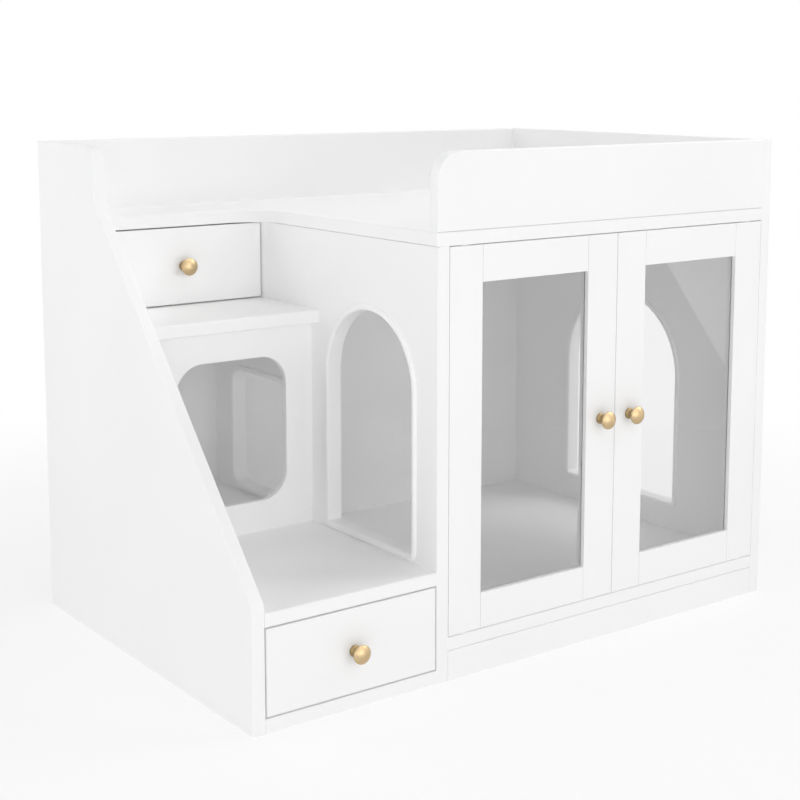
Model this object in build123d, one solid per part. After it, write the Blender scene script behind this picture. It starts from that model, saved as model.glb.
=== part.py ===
# Litter box enclosure: a cat stair with two drawers beside a glazed cabinet, under a guarded top deck.
# Millimetres, +Z up, -Y is the front, +X is to the right of someone who faces the doors.
# The origin is on the floor, at the middle of the outline with its knobs and the side arch's trim.

import os

from build123d import *

# Overall size of the boards
overall_width = 900.0
overall_depth = 587.0
overall_height = 692.0

# Board thicknesses
board = 18.0
thin_board = 9.0
door_board = 15.0
drawer_board = 12.0
drawer_floor_board = 5.0

# Edge treatment, with the steep bevel that draws a fine line where two boards meet
arris = 1.0
round_over = 2.0
seam_width = 0.45
seam_depth = 4.0

# Stair and cabinet layout, measured from the floor, the deck, the front or the back that each follows
stair_bay_width = 259.0
plinth_height = 41.0
guard_height = 101.0
lower_drawer_opening = 114.5
upper_drawer_opening = 113.5
upper_bay_depth = 143.0
upper_tread = 153.0
step_nosing = 20.0
back_recess = 24.0
back_groove_depth = 5.0

# Outlines of the top deck and the left side panel
deck_inner_radius = 50.0
deck_front_radius = 4.0
guard_corner_radius = 34.0
toe_rise = 11.5
toe_radius = 20.0
shoulder_lead = 23.0
shoulder_rise = 20.0
shoulder_radius = 40.0

# Openings, placed by the clear margins between them and the boards round them, and the share of the
# niche's height that the pass-through takes up
stair_sill_rise = 10.5
stair_arch_headroom = 99.0
stair_arch_front_margin = 52.5
stair_arch_back_margin = 44.5
side_arch_width = 246.0
side_arch_sill_rise = 44.5
side_arch_headroom = 142.5
side_arch_lead = 4.5
pass_width = 155.0
pass_height_share = 0.612
pass_corner_radius = 22.0
riser_hole_margin = 43.25
riser_hole_radius = 40.0

# Moulded trim round an opening
trim_lip_width = 8.0
trim_lip_height = 3.5
trim_wall = 3.0
trim_lip_bevel = 1.8
trim_mouth_round = 3.0
trim_arch_corner = 4.0
trim_fit = 0.2

# Doors
door_gap = 1.0
stile_width = 54.0
rail_width = 49.0
sight_lip = 6.0
rebate_width = 8.0
pane_thickness = 3.0
pane_fit = 1.0
pane_bedding = 0.1

# Door pivots, in the middle of the hinge stiles
pin_radius = 3.0
pin_in_door = 14.0
pin_in_bush = 8.0
pin_fit = 0.05
bush_radius = 5.0
bush_flange_radius = 7.0
bush_floor = 2.0
bush_fit = 0.1
seat_clearance = 0.3

# Magnetic catch
catch_width = 46.0
catch_depth = 14.0
catch_height = 12.0
magnet_radius = 4.0
magnet_depth = 3.0
magnet_spacing = 24.0
strike_width = 16.0
strike_height = 12.0
strike_thickness = 1.2
strike_drop = 2.5
strike_round = 2.0

# Drawers
drawer_gap = 2.0
slide_space = 13.0
lower_box_length = 400.0
upper_box_clearance = 12.0
box_lift = 10.0
box_drop = 12.0
floor_rise = 8.0
groove_depth = 5.0
groove_fit = 0.25

# Drawer slides
track_height = 34.0
track_depth = 9.0
track_wall = 1.5
track_round = 1.0
track_start = 2.0
slide_clearance = 0.3

# Knobs and their screws
knob_reach = 24.0
knob_base_radius = 7.5
knob_base_height = 2.0
knob_neck_radius = 5.2
knob_neck_height = 9.0
knob_head_radius = 12.5
knob_head_height = 14.5
knob_rim = 2.0
knob_dome_height = 19.0
screw_radius = 2.0
screw_fit = 0.1
screw_in_knob = 11.0
screw_head_radius = 4.2
screw_head_height = 2.6

# One overrun serves every cut
overrun = 5.0

# Planes that the boards share
left_x = -(overall_width + trim_lip_height) / 2
right_x = left_x + overall_width
front_y = (knob_reach - overall_depth) / 2
back_y = front_y + overall_depth
bay_left = left_x + board
bay_right = bay_left + stair_bay_width
cabinet_left = bay_right + board
cabinet_right = right_x - board
back_inner = back_y - board
top_face = overall_height - guard_height
top_under = top_face - board
floor_face = plinth_height + board
lower_step_under = board + lower_drawer_opening
lower_step_top = lower_step_under + board
upper_step_top = top_under - upper_drawer_opening
upper_step_under = upper_step_top - board
upper_drawer_y = back_inner - upper_bay_depth
upper_step_y = upper_drawer_y - upper_tread
riser_y = upper_step_y + step_nosing
cabinet_back_y = back_y - back_recess - thin_board
shoulder_y = upper_drawer_y - shoulder_lead
shoulder_z = top_face + shoulder_rise
toe_z = lower_step_top + toe_rise
bay_middle = (bay_left + bay_right) / 2
door_middle = (cabinet_left + cabinet_right) / 2
door_low = floor_face + door_gap
door_high = top_under - door_gap
door_back = front_y + door_board
knob_height = (door_low + door_high) / 2
door_width = (cabinet_right - cabinet_left - 3 * door_gap) / 2
pivot_y = front_y + door_board / 2
pivot_inset = door_gap + stile_width / 2
pivot_xs = (cabinet_left + pivot_inset, cabinet_right - pivot_inset)
stair_sill = lower_step_top + stair_sill_rise
stair_arch_low_y = front_y + stair_arch_front_margin
stair_arch_high_y = riser_y - stair_arch_back_margin
stair_arch_y = (stair_arch_low_y + stair_arch_high_y) / 2
stair_arch_width = stair_arch_high_y - stair_arch_low_y
stair_arch_height = top_under - stair_arch_headroom - stair_sill
side_arch_sill = floor_face + side_arch_sill_rise
side_arch_y = (front_y + back_y) / 2 - side_arch_lead
side_arch_height = top_under - side_arch_headroom - side_arch_sill
pass_y = (riser_y + thin_board + back_inner) / 2
pass_height = pass_height_share * (upper_step_under - lower_step_top)
bush_depth = pin_in_bush + bush_floor
bush_flange = door_gap - seat_clearance


def block(low, high):
    size = [b - a for a, b in zip(low, high)]
    return Pos(*low) * Box(*size, align=(Align.MIN, Align.MIN, Align.MIN))


def rod(start, radius, length, direction):
    plane = Plane(origin=start, z_dir=direction)
    return extrude(plane * Circle(radius), length)


def edges_near(shape, axis, *places):
    # Edges whose middle lies at one of the places along an axis
    small = arris / 2
    found = ShapeList()
    for place in places:
        found += shape.edges().filter_by_position(axis, place - small, place + small)
    return found


# Outlines of openings, standing on their sill in a local frame, grown outwards by a margin

def arch_outline(width, height, grow):
    half = width / 2 + grow
    spring = height - width / 2
    sides = Polyline((half, spring), (half, -grow), (-half, -grow), (-half, spring))
    crown = ThreePointArc((-half, spring), (0, spring + half), (half, spring))
    outline = make_face([sides, crown])
    feet = outline.vertices().group_by(Axis.Y)[0]
    return fillet(feet, trim_arch_corner + grow)


def stair_arch(grow):
    return arch_outline(stair_arch_width, stair_arch_height, grow)


def side_arch(grow):
    return arch_outline(side_arch_width, side_arch_height, grow)


def pass_through(grow):
    outline = RectangleRounded(pass_width + 2 * grow, pass_height + 2 * grow, pass_corner_radius + grow)
    return Pos(0, pass_height / 2) * outline


def on_wall(x, y, sill):
    return Plane(origin=(x, y, sill), x_dir=(0, 1, 0), z_dir=(1, 0, 0))


def wall_hole(outline, x, y, sill):
    plane = on_wall(x - overrun, y, sill)
    return extrude(plane * outline(trim_wall + trim_fit), board + 2 * overrun)


def trim_ring(outline, x, y, sill):
    # Two halves: each has a lip on the board's face and a sleeve that reaches the board's middle,
    # with the mouth rounded and the rim of the lip bevelled
    lip_x = x - trim_lip_height
    reach = trim_lip_height + board / 2
    plane = on_wall(lip_x, y, sill)
    lip = extrude(plane * outline(trim_lip_width), trim_lip_height)
    lip = chamfer(edges_near(lip, Axis.X, lip_x), trim_lip_bevel)
    half = lip + extrude(plane * outline(trim_wall), reach)
    half -= extrude(plane * outline(0), reach)
    mouth = half.faces().sort_by(Axis.X)[0].inner_wires().edges()
    half = fillet(mouth, trim_mouth_round)
    middle = Plane(origin=(x + board / 2, 0, 0), z_dir=(1, 0, 0))
    return Compound(children=[half.solid(), mirror(half, about=middle).solid()])


# Carcass boards

def left_side_panel():
    outline = make_face(Polyline(
        (front_y, 0),
        (back_y, 0),
        (back_y, overall_height),
        (shoulder_y, overall_height),
        (shoulder_y, shoulder_z),
        (front_y, toe_z),
        close=True,
    ))
    for corner, radius in (
        ((shoulder_y, overall_height), guard_corner_radius),
        ((shoulder_y, shoulder_z), shoulder_radius),
        ((front_y, toe_z), toe_radius),
    ):
        outline = fillet(outline.vertices().sort_by_distance(corner)[0], radius)
    panel = extrude(on_wall(left_x, 0, 0) * outline, board)
    rims = edges_near(panel, Axis.X, left_x, left_x + board)
    return fillet(rims.filter_by(lambda edge: edge.center().Z > arris), round_over)


def back_groove(x, z_low, z_high):
    low = (x - back_groove_depth, cabinet_back_y, z_low)
    high = (x + back_groove_depth, cabinet_back_y + thin_board, z_high)
    return block(low, high)


def centre_partition():
    panel = block((bay_right, front_y, 0), (cabinet_left, back_y, top_under))
    outer_corner = edges_near(panel, Axis.Y, front_y).filter_by(Axis.Z).sort_by(Axis.X)[0]
    panel = chamfer(outer_corner, arris)
    panel -= block(
        (bay_right - overrun, front_y - overrun, top_under - seam_width),
        (bay_right + seam_depth, back_y + overrun, top_under + overrun),
    )
    panel -= wall_hole(stair_arch, bay_right, stair_arch_y, stair_sill)
    panel -= wall_hole(pass_through, bay_right, pass_y, stair_sill)
    return panel - back_groove(cabinet_left, floor_face, top_under)


def right_side_panel():
    panel = block((cabinet_right, front_y, 0), (right_x, back_y, overall_height))
    rims = edges_near(panel, Axis.X, cabinet_right, right_x)
    panel = fillet(rims.filter_by(lambda edge: edge.center().Z > arris), arris)
    panel -= wall_hole(side_arch, cabinet_right, side_arch_y, side_arch_sill)
    return panel - back_groove(cabinet_right, floor_face, top_under)


def stair_back_panel():
    return block((bay_left, back_inner, 0), (bay_right, back_y, top_under))


def cabinet_back_panel():
    low = (cabinet_left - back_groove_depth, cabinet_back_y, floor_face)
    high = (cabinet_right + back_groove_depth, cabinet_back_y + thin_board, top_under)
    return block(low, high)


def bush_pockets(z, direction):
    return [rod((x, pivot_y, z), bush_radius + bush_fit, bush_depth, direction) for x in pivot_xs]


def top_panel():
    outline = make_face(Polyline(
        (bay_right, front_y),
        (cabinet_right, front_y),
        (cabinet_right, back_y),
        (bay_left, back_y),
        (bay_left, upper_drawer_y),
        (bay_right, upper_drawer_y),
        close=True,
    ))
    inner = outline.vertices().sort_by_distance((bay_right, upper_drawer_y))[0]
    outline = fillet(inner, deck_inner_radius)
    outer = outline.vertices().sort_by_distance((bay_right, front_y))[0]
    outline = fillet(outer, deck_front_radius)
    panel = extrude(Pos(0, 0, top_under) * outline, board)
    panel = chamfer(edges_near(panel, Axis.Z, top_under, top_face), arris)
    for pocket in bush_pockets(top_under, (0, 0, 1)):
        panel -= pocket
    return panel


def cabinet_bottom_panel():
    panel = block((cabinet_left, front_y, plinth_height), (cabinet_right, back_y, floor_face))
    panel = chamfer(edges_near(panel, Axis.Y, front_y), arris)
    for pocket in bush_pockets(floor_face, (0, 0, -1)):
        panel -= pocket
    return panel


def front_plinth():
    plinth = block((cabinet_left, front_y, 0), (cabinet_right, front_y + board, plinth_height))
    face = plinth.faces().sort_by(Axis.Y)[0]
    edges = face.edges().filter_by(lambda edge: edge.center().Z > arris)
    return chamfer(edges, 2 * seam_width, seam_depth, reference=face)


def rear_plinth():
    return block((cabinet_left, back_inner, 0), (cabinet_right, back_y, plinth_height))


def stair_base_panel():
    panel = block((bay_left, front_y, 0), (bay_right, back_inner, board))
    return chamfer(edges_near(panel, Axis.Y, front_y), arris)


def step(front, under):
    panel = block((bay_left, front, under), (bay_right, back_inner, under + board))
    nosing = edges_near(panel, Axis.Y, front).filter_by(Axis.X)
    return fillet(nosing, round_over)


def lower_step():
    return step(front_y, lower_step_under)


def upper_step():
    return step(upper_step_y, upper_step_under)


def stair_riser():
    panel = block((bay_left, riser_y, lower_step_top), (bay_right, riser_y + thin_board, upper_step_under))
    height = upper_step_under - lower_step_top
    hole = RectangleRounded(
        stair_bay_width - 2 * riser_hole_margin,
        height - 2 * riser_hole_margin,
        riser_hole_radius,
    )
    middle = (bay_middle, riser_y - overrun, lower_step_top + height / 2)
    plane = Plane(origin=middle, x_dir=(1, 0, 0), z_dir=(0, 1, 0))
    panel -= extrude(plane * hole, thin_board + 2 * overrun)
    front_face = panel.faces().sort_by(Axis.Y)[0]
    return chamfer(front_face.inner_wires().edges(), arris)


def front_guard():
    length = cabinet_right - bay_right
    outline = Pos(bay_right, top_face) * Rectangle(length, guard_height, align=(Align.MIN, Align.MIN))
    corner = outline.vertices().sort_by_distance((bay_right, overall_height))[0]
    outline = fillet(corner, guard_corner_radius)
    plane = Plane(origin=(0, front_y + board, 0), x_dir=(1, 0, 0), z_dir=(0, -1, 0))
    guard = extrude(plane * outline, board)
    rims = edges_near(guard, Axis.Y, front_y, front_y + board)
    rims = rims.filter_by(lambda edge: edge.center().Z > top_face + arris)
    guard = fillet(rims.filter_by(lambda edge: edge.center().X < cabinet_right - arris), round_over)
    return guard - block(
        (bay_right - overrun, front_y - overrun, top_face - overrun),
        (cabinet_right + overrun, front_y + seam_depth, top_face + 2 * seam_width),
    )


def back_guard():
    guard = block((bay_left, back_inner, top_face), (cabinet_right, back_y, overall_height))
    return fillet(edges_near(guard, Axis.Z, overall_height).filter_by(Axis.X), round_over)


# Doors, with the hinge side given as -1 on the left and +1 on the right

def door_span(side):
    if side < 0:
        low = cabinet_left + door_gap
    else:
        low = cabinet_right - door_gap - door_width
    return low, low + door_width


def door_sight(side, grow):
    low, high = door_span(side)
    return (
        (low + stile_width - grow, door_low + rail_width - grow),
        (high - stile_width + grow, door_high - rail_width + grow),
    )


def door_layer(side, grow, y_low, y_high):
    (x_low, z_low), (x_high, z_high) = door_sight(side, grow)
    return block((x_low, y_low, z_low), (x_high, y_high, z_high))


def door_member(side, x_low, x_high, z_low, z_high):
    member = block((x_low, front_y, z_low), (x_high, door_back, z_high))
    face = member.faces().sort_by(Axis.Y)[0]
    member = chamfer(face.edges(), seam_width, seam_depth, reference=face)
    return member - door_layer(side, rebate_width, front_y + sight_lip, door_back + overrun)


def door_stile(side, x_low):
    return door_member(side, x_low, x_low + stile_width, door_low, door_high)


def door_rail(side, x_low, x_high, z_low):
    return door_member(side, x_low, x_high, z_low, z_low + rail_width)


def pivot_pin(x, z, direction):
    start = (x, pivot_y, z - direction * pin_in_door)
    return rod(start, pin_radius, pin_in_door + door_gap + pin_in_bush - seat_clearance, (0, 0, direction))


def door_nodes(side):
    low, high = door_span(side)
    inner_low, inner_high = low + stile_width, high - stile_width
    hinge_low, lock_low = (low, inner_high) if side < 0 else (inner_high, low)
    pivot_x = pivot_xs[0] if side < 0 else pivot_xs[1]
    lock_x = lock_low + stile_width / 2
    hinge_stile = door_stile(side, hinge_low)
    for z, direction in ((door_low, 1), (door_high, -1)):
        hinge_stile -= rod((pivot_x, pivot_y, z), pin_radius + pin_fit, pin_in_door, (0, 0, direction))
    lock_stile = door_stile(side, lock_low)
    lock_stile -= screw_hole(lock_x, front_y, knob_height, door_board)
    pane_y = front_y + sight_lip + pane_bedding
    beads_y = pane_y + pane_thickness + pane_bedding
    pane = door_layer(side, rebate_width - pane_fit, pane_y, pane_y + pane_thickness)
    pins = [pivot_pin(pivot_x, door_low, -1), pivot_pin(pivot_x, door_high, 1)]
    return {
        "hinge_stile": hinge_stile,
        "lock_stile": lock_stile,
        "top_rail": door_rail(side, inner_low, inner_high, door_high - rail_width),
        "bottom_rail": door_rail(side, inner_low, inner_high, door_low),
        "pane": pane,
        "glazing_beads": glazing_beads(side, beads_y),
        "pivot_pins": Compound(children=[pin.solid() for pin in pins]),
        "knob": knob(lock_x, front_y, knob_height),
        "knob_screw": knob_screw(lock_x, front_y, knob_height, door_board),
        "strike_plate": strike_plate(side),
    }


def glazing_beads(side, y_low):
    (x_low, z_low), (x_high, z_high) = door_sight(side, rebate_width)
    beads = []
    for x in (x_low, x_high - rebate_width):
        beads.append(block((x, y_low, z_low), (x + rebate_width, door_back, z_high)))
    for z in (z_low, z_high - rebate_width):
        low = (x_low + rebate_width, y_low, z)
        beads.append(block(low, (x_high - rebate_width, door_back, z + rebate_width)))
    return Compound(children=[bead.solid() for bead in beads])


def pivot_bush(x, z, direction):
    body = rod((x, pivot_y, z), bush_radius, bush_depth, (0, 0, direction))
    body += rod((x, pivot_y, z), bush_flange_radius, bush_flange, (0, 0, -direction))
    mouth = (x, pivot_y, z - direction * (bush_flange + overrun))
    return body - rod(mouth, pin_radius + pin_fit, overrun + bush_flange + pin_in_bush, (0, 0, direction))


def pivot_bushes():
    bushes = []
    for x in pivot_xs:
        bushes.append(pivot_bush(x, top_under, 1))
        bushes.append(pivot_bush(x, floor_face, -1))
    return Compound(children=[bush.solid() for bush in bushes])


# Magnetic catch under the top panel, behind the meeting stiles

catch_y = door_back + strike_thickness + seat_clearance
magnet_xs = (door_middle - magnet_spacing / 2, door_middle + magnet_spacing / 2)
magnet_z = top_under - catch_height / 2


def magnets(radius, depth):
    return [rod((x, catch_y, magnet_z), radius, depth, (0, 1, 0)) for x in magnet_xs]


def door_catch():
    low = (door_middle - catch_width / 2, catch_y, top_under - catch_height)
    high = (door_middle + catch_width / 2, catch_y + catch_depth, top_under)
    housing = block(low, high)
    housing = fillet(housing.edges().filter_by(Axis.Z), round_over)
    for pocket in magnets(magnet_radius + bush_fit, magnet_depth):
        housing -= pocket
    return housing


def catch_magnets():
    return Compound(children=[magnet.solid() for magnet in magnets(magnet_radius, magnet_depth)])


def strike_plate(side):
    x = magnet_xs[0] if side < 0 else magnet_xs[1]
    plane = Plane(origin=(x, door_back, magnet_z - strike_drop), x_dir=(1, 0, 0), z_dir=(0, 1, 0))
    return extrude(plane * RectangleRounded(strike_width, strike_height, strike_round), strike_thickness)


# Knobs, turned about their own axis, with the screw that holds them

def knob(x, y, z):
    under_head = (knob_head_radius - knob_rim, -knob_head_height)
    dome_edge = (knob_head_radius - knob_rim / 2, -knob_dome_height)
    rim_middle = (knob_head_radius, -(knob_head_height + knob_dome_height) / 2)
    base = (knob_base_radius, -knob_base_height)
    profile = [
        Polyline((0, -knob_reach), (0, 0), (knob_base_radius, 0), base),
        ThreePointArc(base, (knob_neck_radius, -knob_neck_height), under_head),
        ThreePointArc(under_head, rim_middle, dome_edge),
        TangentArc((0, -knob_reach), dome_edge, tangent=(1, 0)),
    ]
    turned = revolve(make_face(profile), Axis.Y)
    turned -= rod((0, overrun, 0), screw_radius + screw_fit, screw_in_knob + overrun, (0, -1, 0))
    return Pos(x, y, z) * turned


def screw_hole(x, y, z, thickness):
    return rod((x, y - overrun, z), screw_radius + screw_fit, thickness + 2 * overrun, (0, 1, 0))


def knob_screw(x, y, z, thickness):
    shank = rod((x, y + thickness, z), screw_radius, thickness + screw_in_knob - seat_clearance, (0, -1, 0))
    head = rod((x, y + thickness, z), screw_head_radius, screw_head_height, (0, 1, 0))
    head = chamfer(head.edges().group_by(Axis.Y)[-1], arris)
    return shank + head


# Drawers and their slides

def channel(x, toward, height, y_low, y_high, z):
    # A rolled channel whose web stands on the plane x and whose flanges point along +X or -X
    half = height / 2
    web = x + toward * track_wall
    tip = x + toward * track_depth
    inner = half - track_wall
    outline = make_face(Polyline(
        (x, z - half),
        (tip, z - half),
        (tip, z - inner),
        (web, z - inner),
        (web, z + inner),
        (tip, z + inner),
        (tip, z + half),
        (x, z + half),
        close=True,
    ))
    plane = Plane(origin=(0, y_high, 0), x_dir=(1, 0, 0), z_dir=(0, -1, 0))
    rolled = extrude(plane * outline, y_high - y_low)
    return fillet(edges_near(rolled, Axis.X, x).filter_by(Axis.Y), track_round)


def drawer_heights(z_low, z_high):
    box_low = z_low + drawer_gap + box_lift
    box_high = z_high - drawer_gap - box_drop
    return box_low, box_high, (box_low + box_high) / 2


def drawer_tracks(face_y, z_low, z_high, length):
    middle = drawer_heights(z_low, z_high)[2]
    y_low = face_y + door_board + track_start
    left = channel(bay_left, 1, track_height, y_low, y_low + length, middle)
    right = channel(bay_right, -1, track_height, y_low, y_low + length, middle)
    return Compound(children=[left.solid(), right.solid()])


def drawer_nodes(face_y, z_low, z_high, length):
    box_low, box_high, middle = drawer_heights(z_low, z_high)
    inside_y = face_y + door_board
    end_y = inside_y + length
    box_left, box_right = bay_left + slide_space, bay_right - slide_space
    floor_low = box_low + floor_rise
    floor_high = floor_low + drawer_floor_board
    reach = groove_depth - groove_fit
    groove = block(
        (box_left + drawer_board - groove_depth, inside_y - groove_depth, floor_low - groove_fit),
        (box_right - drawer_board + groove_depth, end_y - drawer_board + groove_depth, floor_high + groove_fit),
    )
    face_middle = (z_low + z_high) / 2
    front = block(
        (bay_left + drawer_gap, face_y, z_low + drawer_gap),
        (bay_right - drawer_gap, inside_y, z_high - drawer_gap),
    )
    front = chamfer(edges_near(front, Axis.Y, face_y), arris)
    front -= groove
    front -= screw_hole(bay_middle, face_y, face_middle, door_board)
    sides = []
    for x in (box_left, box_right - drawer_board):
        side = block((x, inside_y, box_low), (x + drawer_board, end_y, box_high)) - groove
        sides.append(side.solid())
    back = block(
        (box_left + drawer_board, end_y - drawer_board, box_low),
        (box_right - drawer_board, end_y, box_high),
    ) - groove
    floor = block(
        (box_left + drawer_board - reach, inside_y - reach, floor_low),
        (box_right - drawer_board + reach, end_y - drawer_board + reach, floor_high),
    )
    runner_height = track_height - 2 * (track_wall + slide_clearance)
    runners = [
        channel(box_left, -1, runner_height, inside_y, end_y, middle).solid(),
        channel(box_right, 1, runner_height, inside_y, end_y, middle).solid(),
    ]
    return {
        "front": front,
        "sides": Compound(children=sides),
        "back": back,
        "floor": floor,
        "runners": Compound(children=runners),
        "knob": knob(bay_middle, face_y, face_middle),
        "knob_screw": knob_screw(bay_middle, face_y, face_middle, door_board),
    }


lower_drawer = (front_y, board, lower_step_under, lower_box_length)
upper_box_length = upper_bay_depth - door_board - upper_box_clearance
upper_drawer = (upper_drawer_y, upper_step_top, top_under, upper_box_length)

nodes = {
    "left_side_panel": left_side_panel(),
    "centre_partition": centre_partition(),
    "right_side_panel": right_side_panel(),
    "stair_back_panel": stair_back_panel(),
    "cabinet_back_panel": cabinet_back_panel(),
    "top_panel": top_panel(),
    "cabinet_bottom_panel": cabinet_bottom_panel(),
    "front_plinth": front_plinth(),
    "rear_plinth": rear_plinth(),
    "stair_base_panel": stair_base_panel(),
    "lower_step": lower_step(),
    "upper_step": upper_step(),
    "stair_riser": stair_riser(),
    "front_guard": front_guard(),
    "back_guard": back_guard(),
    "stair_arch_trim": trim_ring(stair_arch, bay_right, stair_arch_y, stair_sill),
    "side_arch_trim": trim_ring(side_arch, cabinet_right, side_arch_y, side_arch_sill),
    "pass_through_trim": trim_ring(pass_through, bay_right, pass_y, stair_sill),
    "pivot_bushes": pivot_bushes(),
    "door_catch": door_catch(),
    "catch_magnets": catch_magnets(),
    "lower_drawer_tracks": drawer_tracks(*lower_drawer),
    "upper_drawer_tracks": drawer_tracks(*upper_drawer),
}
for prefix, pieces in (
    ("left_door", door_nodes(-1)),
    ("right_door", door_nodes(1)),
    ("lower_drawer", drawer_nodes(*lower_drawer)),
    ("upper_drawer", drawer_nodes(*upper_drawer)),
):
    for name, piece in pieces.items():
        nodes[f"{prefix}_{name}"] = piece

os.makedirs("parts", exist_ok=True)
for name, piece in nodes.items():
    export_step(piece, f"parts/{name}.step")
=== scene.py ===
import bpy
import math
from mathutils import Matrix, Vector


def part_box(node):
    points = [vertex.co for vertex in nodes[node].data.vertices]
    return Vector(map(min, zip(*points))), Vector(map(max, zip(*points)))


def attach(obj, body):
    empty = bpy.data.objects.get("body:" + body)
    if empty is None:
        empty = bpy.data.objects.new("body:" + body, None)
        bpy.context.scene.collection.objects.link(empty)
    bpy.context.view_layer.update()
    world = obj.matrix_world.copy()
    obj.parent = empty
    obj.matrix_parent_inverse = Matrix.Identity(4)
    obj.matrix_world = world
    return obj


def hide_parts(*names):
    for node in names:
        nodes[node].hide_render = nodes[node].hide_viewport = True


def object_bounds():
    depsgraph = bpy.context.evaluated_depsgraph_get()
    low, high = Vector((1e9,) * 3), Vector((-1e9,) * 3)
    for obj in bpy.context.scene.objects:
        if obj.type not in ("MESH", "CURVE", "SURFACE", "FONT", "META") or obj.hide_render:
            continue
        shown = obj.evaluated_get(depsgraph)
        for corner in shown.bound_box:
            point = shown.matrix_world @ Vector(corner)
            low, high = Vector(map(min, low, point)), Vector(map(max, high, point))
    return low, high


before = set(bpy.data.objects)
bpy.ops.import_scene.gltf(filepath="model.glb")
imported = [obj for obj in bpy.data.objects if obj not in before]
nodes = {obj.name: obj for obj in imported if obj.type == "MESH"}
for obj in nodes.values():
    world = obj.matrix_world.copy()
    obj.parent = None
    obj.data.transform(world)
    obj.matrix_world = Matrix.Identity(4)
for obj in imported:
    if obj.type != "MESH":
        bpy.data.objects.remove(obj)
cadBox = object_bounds()
print("frame loaded,", len(nodes), "nodes")

mm = 0.001  # metres in a millimetre
wavesPerUnit = 20 / (2 * math.pi)  # bands that a wave texture of scale 1 draws in a unit


def hexColour(code):
    shares = [int(code[i:i + 2], 16) / 255 for i in (1, 3, 5)]
    return [c / 12.92 if c <= 0.04045 else ((c + 0.055) / 1.055) ** 2.4 for c in shares] + [1.0]


def addNode(tree, kind, settings=None, **inputs):
    node = tree.nodes.new(kind)
    for name, value in (settings or {}).items():
        setattr(node, name, value)
    for name, value in inputs.items():
        socket = node.inputs[name.replace("_", " ")]
        if isinstance(value, bpy.types.NodeSocket):
            tree.links.new(value, socket)
        else:
            socket.default_value = value
    return node


def newMaterial(name):
    material = bpy.data.materials.new(name)
    material.use_nodes = True
    tree = material.node_tree
    return material, tree, tree.nodes["Principled BSDF"]


def perCell(size):
    return 1 / (size * mm)  # noise scale for cells of this size in millimetres


# boards: MDF sprayed with satin white lacquer, flat to the eye, with a faint orange peel in the gloss
lacquer = dict(
    name="whiteLacqueredMdf",
    white="#FAFAFA",
    shade="#F8F8F8",
    patch=220,  # slow drift of the white over a board
    grain=7,  # real orange peel is 2 to 3, drawn coarser to show
    depth=0.02,
    gloss=(0.44, 0.54),
)

# drawer boxes and the thin back: melamine paper on board, flatter than lacquer, with a pebbled press grain
melamine = dict(
    name="whiteMelamineBoard",
    white="#F8F8F8",
    shade="#F6F6F6",
    patch=90,
    grain=2.5,  # real press grain is about 0.5, drawn coarser to show
    depth=0.05,
    gloss=(0.44, 0.56),
)

# trims, bushes and the catch's housing: moulded ABS, a little whiter and glossier than the boards,
# with a fine eroded grain
moulding = dict(
    name="mouldedWhiteAbs",
    white="#FDFDFD",
    shade="#FBFBFB",
    patch=40,
    grain=1.5,  # real spark grain is 0.2, drawn coarser to show
    depth=0.03,
    gloss=(0.28, 0.38),
)

# what the three whites share
whites = dict(
    patchDetail=3.0,
    spread=(0.35, 0.65),  # stretch of the noise over which the shade turns to white
    grainDetail=1.0,
    relief=0.3,
)


def makeWhite(look):
    material, tree, shader = newMaterial(look["name"])
    place = addNode(tree, "ShaderNodeTexCoord").outputs["Object"]
    patch = addNode(tree, "ShaderNodeTexNoise", Vector=place, Scale=perCell(look["patch"]),
                    Detail=whites["patchDetail"])
    tone = addNode(tree, "ShaderNodeValToRGB", Fac=patch.outputs["Fac"])
    colours = (look["shade"], look["white"])
    for end, position, colour in zip(tone.color_ramp.elements, whites["spread"], colours):
        end.position = position
        end.color = hexColour(colour)
    grain = addNode(tree, "ShaderNodeTexNoise", Vector=place, Scale=perCell(look["grain"]),
                    Detail=whites["grainDetail"])
    low, high = look["gloss"]
    gloss = addNode(tree, "ShaderNodeMapRange", Value=grain.outputs["Fac"], To_Min=low, To_Max=high)
    bump = addNode(tree, "ShaderNodeBump", Height=grain.outputs["Fac"], Strength=whites["relief"])
    bump.inputs["Distance"].default_value = look["depth"] * mm
    tree.links.new(tone.outputs["Color"], shader.inputs["Base Color"])
    tree.links.new(gloss.outputs["Result"], shader.inputs["Roughness"])
    tree.links.new(bump.outputs["Normal"], shader.inputs["Normal"])
    return material


# panes: cast clear acrylic, see-through with a faint grey cast, and a long slow wave in its reflections
acrylic = dict(
    tint="#F1F1F1",
    bend=1.49,  # index of refraction
    wave=160,
    waveDepth=0.05,
    relief=0.2,
)


def makeAcrylic():
    material, tree, shader = newMaterial("clearAcrylic")
    place = addNode(tree, "ShaderNodeTexCoord").outputs["Object"]
    wave = addNode(tree, "ShaderNodeTexNoise", Vector=place, Scale=perCell(acrylic["wave"]), Detail=0.0)
    bump = addNode(tree, "ShaderNodeBump", Height=wave.outputs["Fac"], Strength=acrylic["relief"])
    bump.inputs["Distance"].default_value = acrylic["waveDepth"] * mm
    shader.inputs["Base Color"].default_value = hexColour(acrylic["tint"])
    shader.inputs["Transmission Weight"].default_value = 1.0
    shader.inputs["Roughness"].default_value = 0.0
    shader.inputs["IOR"].default_value = acrylic["bend"]
    tree.links.new(bump.outputs["Normal"], shader.inputs["Normal"])
    return material


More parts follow.
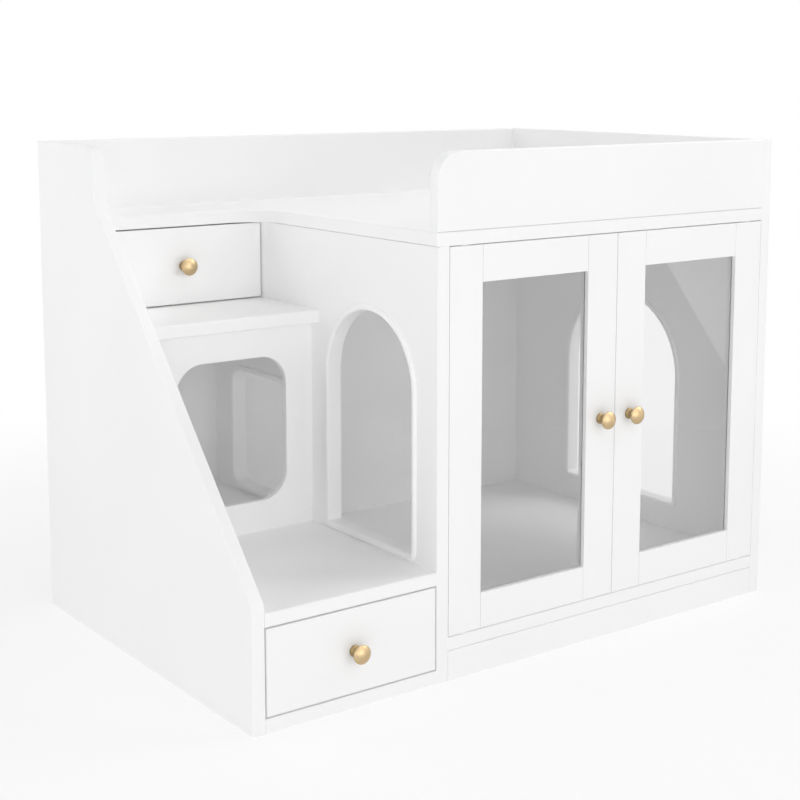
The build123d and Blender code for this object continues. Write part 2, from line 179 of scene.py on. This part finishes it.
# knobs: turned brass with a satin clear coat and rings from the tool, with painted shade that makes the neck
# under the head darker and browner
brass = dict(
    warm="#D0B992",
    deep="#C1A880",
    neck="#9C8762",  # painted shade: the colour of the neck in the shadow under the head
    headDepth=7.5,  # behind the front of the knob, where the painted shade starts
    neckDepth=11,
    blotch=9,
    blotchDetail=3.0,
    ring=1.2,  # real tool marks are 0.1 apart, drawn coarser to show
    ringDepth=0.02,
    wobble=0.4,  # how far the rings stray from true circles
    relief=0.2,
    gloss=(0.38, 0.46),
)


def makeBrass(node):
    low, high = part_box(node)
    material, tree, shader = newMaterial("turnedSatinBrass_" + node)
    place = addNode(tree, "ShaderNodeTexCoord").outputs["Object"]
    middle = (low + high) / 2
    centred = addNode(tree, "ShaderNodeMapping", Vector=place, Location=-middle)
    rings = addNode(tree, "ShaderNodeTexWave", {"wave_type": "RINGS", "rings_direction": "Y"},
                    Vector=centred.outputs["Vector"], Scale=perCell(brass["ring"]) / wavesPerUnit,
                    Distortion=brass["wobble"])
    blotch = addNode(tree, "ShaderNodeTexNoise", Vector=place, Scale=perCell(brass["blotch"]),
                     Detail=brass["blotchDetail"])
    tone = addNode(tree, "ShaderNodeValToRGB", Fac=blotch.outputs["Fac"])
    tone.color_ramp.elements[0].color = hexColour(brass["deep"])
    tone.color_ramp.elements[1].color = hexColour(brass["warm"])
    # painted shade: between headDepth and neckDepth behind the front, the colour turns to the darker neck
    # colour
    depth = addNode(tree, "ShaderNodeSeparateXYZ", Vector=place).outputs["Y"]
    paintedShadeMask = addNode(tree, "ShaderNodeMapRange", {"interpolation_type": "SMOOTHSTEP"}, Value=depth,
                     From_Min=low.y + brass["headDepth"] * mm, From_Max=low.y + brass["neckDepth"] * mm)
    neckShadedColour = addNode(tree, "ShaderNodeMixRGB", Fac=paintedShadeMask.outputs["Result"], Color1=tone.outputs["Color"],
                   Color2=hexColour(brass["neck"]))
    least, most = brass["gloss"]
    gloss = addNode(tree, "ShaderNodeMapRange", Value=blotch.outputs["Fac"], To_Min=least, To_Max=most)
    bump = addNode(tree, "ShaderNodeBump", Height=rings.outputs["Fac"], Strength=brass["relief"])
    bump.inputs["Distance"].default_value = brass["ringDepth"] * mm
    shader.inputs["Metallic"].default_value = 1.0
    tree.links.new(neckShadedColour.outputs["Color"], shader.inputs["Base Color"])
    tree.links.new(gloss.outputs["Result"], shader.inputs["Roughness"])
    tree.links.new(bump.outputs["Normal"], shader.inputs["Normal"])
    return material


# slides, pins, screws and strikes: cold-rolled steel with bright zinc, streaked along the rolling direction
zinc = dict(
    light="#C9CDD1",
    dark="#A9AEB4",
    streak=6,
    streakDetail=4.0,
    draw=0.08,  # streaks run long in Y
    gloss=(0.28, 0.42),
)


def makeZinc():
    material, tree, shader = newMaterial("zincPlatedSteel")
    place = addNode(tree, "ShaderNodeTexCoord").outputs["Object"]
    drawn = addNode(tree, "ShaderNodeMapping", Vector=place, Scale=(1.0, zinc["draw"], 1.0))
    streak = addNode(tree, "ShaderNodeTexNoise", Vector=drawn.outputs["Vector"],
                     Scale=perCell(zinc["streak"]), Detail=zinc["streakDetail"])
    tone = addNode(tree, "ShaderNodeValToRGB", Fac=streak.outputs["Fac"])
    tone.color_ramp.elements[0].color = hexColour(zinc["dark"])
    tone.color_ramp.elements[1].color = hexColour(zinc["light"])
    low, high = zinc["gloss"]
    gloss = addNode(tree, "ShaderNodeMapRange", Value=streak.outputs["Fac"], To_Min=low, To_Max=high)
    shader.inputs["Metallic"].default_value = 1.0
    tree.links.new(tone.outputs["Color"], shader.inputs["Base Color"])
    tree.links.new(gloss.outputs["Result"], shader.inputs["Roughness"])
    return material


def dress(name, material):
    slots = nodes[name].data.materials
    slots.clear()
    slots.append(material)


whiteBoard = makeWhite(lacquer)
paperedBoard = makeWhite(melamine)
whitePlastic = makeWhite(moulding)
clearPane = makeAcrylic()
steel = makeZinc()
finishes = (
    (("pane",), clearPane),
    (("trim", "bushes", "door_catch"), whitePlastic),
    (("tracks", "runners", "screw", "pins", "strike", "magnets"), steel),
    (("drawer_sides", "drawer_back", "drawer_floor", "cabinet_back_panel"), paperedBoard),
)
for name in nodes:
    if name.endswith("knob"):
        dress(name, makeBrass(name))
        continue
    found = [finish for words, finish in finishes if name.endswith(words)]
    dress(name, found[0] if found else whiteBoard)
print("finishes on")

# screws: pan heads with a cross recess, on the shanks that hold the knobs and flat on the strike plates
knobScrew = dict(
    radius=4.2,
    height=2.6,
    round=1.6,
    shank=2.0,
    recess=(4.8, 1.0, 1.5),  # length and width of the cross, and its depth
)
strikeScrew = dict(
    radius=2.6,
    height=0.25,
    round=0.15,
    shank=1.2,
    recess=(3.2, 0.7, 0.2),
)
fineness = dict(
    sides=32,
    rimSteps=5,
    smooth=35,  # degrees, edges sharper than this stay sharp
    level=1e-6,  # metres, points closer than this in height count as level
)
backwards = (math.radians(-90), 0, 0)  # turns a piece made along +Z to point to the back


def addRod(radius, low, high):
    middle = (low + high) / 2
    bpy.ops.mesh.primitive_cylinder_add(
        vertices=fineness["sides"], radius=radius, depth=high.y - low.y, location=middle, rotation=backwards)
    return bpy.context.object


def roundRim(rod, amount):
    mesh = rod.data
    far = max(v.co.z for v in mesh.vertices)
    bpy.ops.object.mode_set(mode="EDIT")
    bpy.ops.mesh.select_all(action="DESELECT")
    bpy.ops.object.mode_set(mode="OBJECT")
    for edge in mesh.edges:
        edge.select = all(mesh.vertices[i].co.z > far - fineness["level"] for i in edge.vertices)
    bpy.ops.object.mode_set(mode="EDIT")
    bpy.ops.mesh.select_mode(type="EDGE")
    bpy.ops.mesh.bevel(offset=amount, segments=fineness["rimSteps"], affect="EDGES")
    bpy.ops.object.mode_set(mode="OBJECT")


def cutCross(head, centre, recess):
    # half of each cutter stands above the head
    length, width, depth = recess
    for size in ((length, 2 * depth, width), (width, 2 * depth, length)):
        bpy.ops.mesh.primitive_cube_add(size=mm, location=centre)
        cutter = bpy.context.object
        cutter.scale = size
        bpy.ops.object.transform_apply()
        bpy.ops.object.select_all(action="DESELECT")
        head.select_set(True)
        bpy.context.view_layer.objects.active = head
        modifier = head.modifiers.new("recess", "BOOLEAN")
        modifier.object = cutter
        modifier.solver = "EXACT"
        bpy.ops.object.modifier_apply(modifier=modifier.name)
        bpy.data.objects.remove(cutter)


def makeScrew(look, reach):
    # the head's underside is at the origin and the shank points to the front
    bpy.ops.object.select_all(action="DESELECT")
    top = Vector((0, look["height"], 0)) * mm
    head = addRod(look["radius"] * mm, Vector(), top)
    roundRim(head, look["round"] * mm)
    bpy.ops.object.transform_apply()
    cutCross(head, top, look["recess"])
    shank = addRod(look["shank"] * mm, Vector((0, -reach, 0)), Vector())
    bpy.ops.object.transform_apply()
    head.select_set(True)
    bpy.context.view_layer.objects.active = head
    bpy.ops.object.join()
    bpy.ops.object.shade_smooth_by_angle(angle=math.radians(fineness["smooth"]))
    head.data.materials.clear()
    head.data.materials.append(steel)
    return head


def placeScrew(model, name, body, seat):
    screw = model.copy()
    screw.data = model.data.copy()
    screw.data.transform(Matrix.Translation(seat))
    screw.name = name
    bpy.context.collection.objects.link(screw)
    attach(screw, body)
    return screw


low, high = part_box("left_door_knob_screw")
model = makeScrew(knobScrew, high.y - low.y - knobScrew["height"] * mm)
for body in ("left_door", "right_door", "lower_drawer", "upper_drawer"):
    low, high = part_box(body + "_knob_screw")
    middle = (low + high) / 2
    seat = Vector((middle.x, high.y - knobScrew["height"] * mm, middle.z))
    screw = placeScrew(model, body + "_pan_head_screw", body, seat)
    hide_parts(body + "_knob_screw")
bpy.data.objects.remove(model)

low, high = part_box("left_door_strike_plate")
model = makeScrew(strikeScrew, high.y - low.y)
for body in ("left_door", "right_door"):
    low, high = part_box(body + "_strike_plate")
    middle = (low + high) / 2
    placeScrew(model, body + "_strike_screw", body, Vector((middle.x, high.y, middle.z)))
bpy.data.objects.remove(model)
print("screws in")

# floor: a plain white sweep that keeps a soft shadow round the object and fades to pure white away from it
sweep = dict(
    size=30.0,
    colour="#FCFCFC",
    roughness=0.9,
    glow=0.555,  # share of the floor's own light, as on a light table, for the light that it hands on
    clear=0.7,  # the same share where the floor is seen close to the object
    fade=(0.65, 1.6),  # metres from the middle over which the seen floor turns pure white
)


def whereSeen(tree, unseen, seen):
    # the camera, metal and glass see the white studio, and only the light that boards scatter is dimmer
    path = addNode(tree, "ShaderNodeLightPath").outputs
    share = unseen
    for ray in ("Is Camera Ray", "Is Glossy Ray", "Is Transmission Ray"):
        step = addNode(tree, "ShaderNodeMix", Factor=path[ray], A=share, B=seen)
        share = step.outputs["Result"]
    return share


def makeFloor():
    bpy.ops.object.select_all(action="DESELECT")
    bpy.ops.mesh.primitive_plane_add(size=sweep["size"], location=(0, 0, cadBox[0].z))
    floor = bpy.context.object
    floor.name = "floor"
    material, tree, shader = newMaterial("mattWhiteSweep")
    shader.inputs["Base Color"].default_value = hexColour(sweep["colour"])
    shader.inputs["Roughness"].default_value = sweep["roughness"]
    shader.inputs["Specular IOR Level"].default_value = 0.0
    place = addNode(tree, "ShaderNodeTexCoord").outputs["Object"]
    away = addNode(tree, "ShaderNodeVectorMath", {"operation": "LENGTH"}, Vector=place).outputs["Value"]
    near, far = sweep["fade"]
    clear = addNode(tree, "ShaderNodeMapRange", {"interpolation_type": "SMOOTHSTEP"}, Value=away,
                    From_Min=near, From_Max=far, To_Min=sweep["clear"], To_Max=1.0).outputs["Result"]
    bright = addNode(tree, "ShaderNodeEmission", Color=(1, 1, 1, 1), Strength=1.0)
    mix = addNode(tree, "ShaderNodeMixShader", Fac=whereSeen(tree, sweep["glow"], clear))
    tree.links.new(shader.outputs["BSDF"], mix.inputs[1])
    tree.links.new(bright.outputs["Emission"], mix.inputs[2])
    tree.links.new(mix.outputs["Shader"], tree.nodes["Material Output"].inputs["Surface"])
    floor.data.materials.append(material)


# light: large soft lamps all round in a white room, the strongest high on the right
room = dict(
    strength=0.138,  # share of the room's white that falls on the boards
    passes=12,  # white boards hand light on many times inside the cabinet
)
lamps = (
    dict(name="frontHighSoftbox", place=(0, -2.6, 2.4), watts=12.9),
    dict(name="frontLowSoftbox", place=(0, -3.2, 0.6), watts=15.1),
    dict(name="stairSoftbox", place=(-1.2, -2.2, 0.4), watts=16.3),
    dict(name="leftSoftbox", place=(-3.2, 0, 1.0), watts=22.6),
    dict(name="topSoftbox", place=(0, 0, 3.2), watts=19.6),
    dict(name="rightHighSoftbox", place=(2.4, -0.8, 2.6), watts=37.8),
    dict(name="backRightSoftbox", place=(1.5, 1.5, 2.4), watts=6.7),
    dict(name="backLeftSoftbox", place=(-2.0, 2.0, 2.0), watts=21.9),
)
lampSize = 2.0
lampAim = (0, 0, 0.3)

# a tilted strip at the front right, for the slanting reflection in the right pane
strip = dict(
    place=(1.546, -1.2, 0.407),
    size=(0.9, 0.6),
    tilt=52,
    watts=1.4,
)


def makeRoom():
    world = bpy.data.worlds.new("whiteRoom")
    world.use_nodes = True
    bpy.context.scene.world = world
    bpy.context.scene.cycles.diffuse_bounces = room["passes"]
    tree = world.node_tree
    tree.nodes.clear()
    strength = whereSeen(tree, room["strength"], 1.0)
    white = addNode(tree, "ShaderNodeBackground", Color=(1, 1, 1, 1), Strength=strength)
    end = addNode(tree, "ShaderNodeOutputWorld")
    tree.links.new(white.outputs["Background"], end.inputs["Surface"])


def addLamp(name, place, size, watts, turn):
    bpy.ops.object.light_add(type="AREA", location=place, rotation=turn)
    light = bpy.context.object
    light.name = name
    light.data.shape = "RECTANGLE"
    light.data.size, light.data.size_y = size
    light.data.energy = watts
    light.visible_camera = False  # the room stays plain white behind the object


def makeLamps():
    for lamp in lamps:
        turn = (Vector(lampAim) - Vector(lamp["place"])).to_track_quat("-Z", "Y").to_euler()
        addLamp(lamp["name"], lamp["place"], (lampSize, lampSize), lamp["watts"], turn)
    turn = (math.radians(90), math.radians(strip["tilt"]), 0)
    addLamp("paneStrip", strip["place"], strip["size"], strip["watts"], turn)


makeFloor()
makeRoom()
makeLamps()
print("floor and light set")

# camera: the photograph's viewpoint, measured from the front left foot of the object
lens = dict(
    right=-896.2,
    back=-1520.1,
    up=789.8,
    turn=36.237,
    dip=7.959,
    focal=69.42,
    shift=-0.14,
)


def makeCamera():
    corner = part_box("left_side_panel")[0]
    place = corner + Vector((lens["right"], lens["back"], lens["up"])) * mm
    turn = (math.radians(90 - lens["dip"]), 0, math.radians(-lens["turn"]))
    bpy.ops.object.camera_add(location=place, rotation=turn)
    camera = bpy.context.object
    camera.data.lens = lens["focal"]
    camera.data.shift_y = lens["shift"]
    bpy.context.scene.camera = camera


makeCamera()
bpy.context.scene.view_settings.view_transform = "Standard"
print("camera set")
